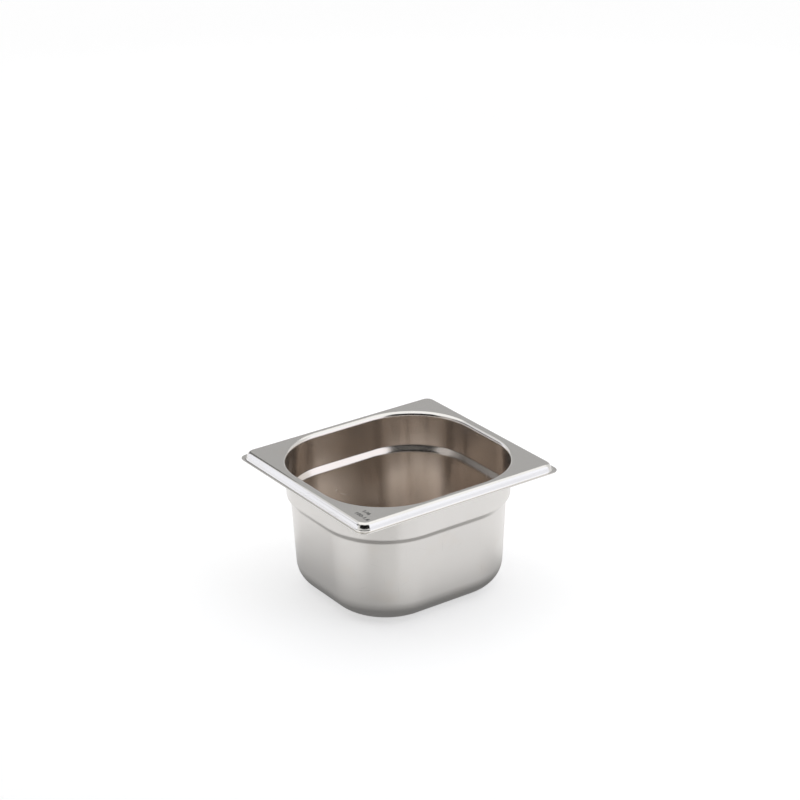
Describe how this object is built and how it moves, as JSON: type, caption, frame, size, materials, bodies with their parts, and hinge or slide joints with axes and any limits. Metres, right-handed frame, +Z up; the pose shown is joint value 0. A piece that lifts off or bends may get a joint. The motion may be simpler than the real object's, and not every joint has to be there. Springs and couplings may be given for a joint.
{
  "type": "deli food pan",
  "caption": "Deep rectangular steel food pan with a round-cornered bowl, a stacking shoulder and a flat flange with a stepped lip, to stand on its base or hang in a counter cut-out.",
  "frame": {"origin": "middle of the base, on the surface that the pan stands on", "axes": "+Z up out of the bowl, +X along the long side of the rim (176 mm), +Y along its short side (162 mm)"},
  "size_m": [0.176, 0.162, 0.1],
  "materials": {
    "stainless_steel": "satin stainless steel, fine brush lines, bright at the bends of the rim and of the opening"
  },
  "bodies": {
    "root": {"pan": "stainless_steel"}
  },
  "joints": []
}
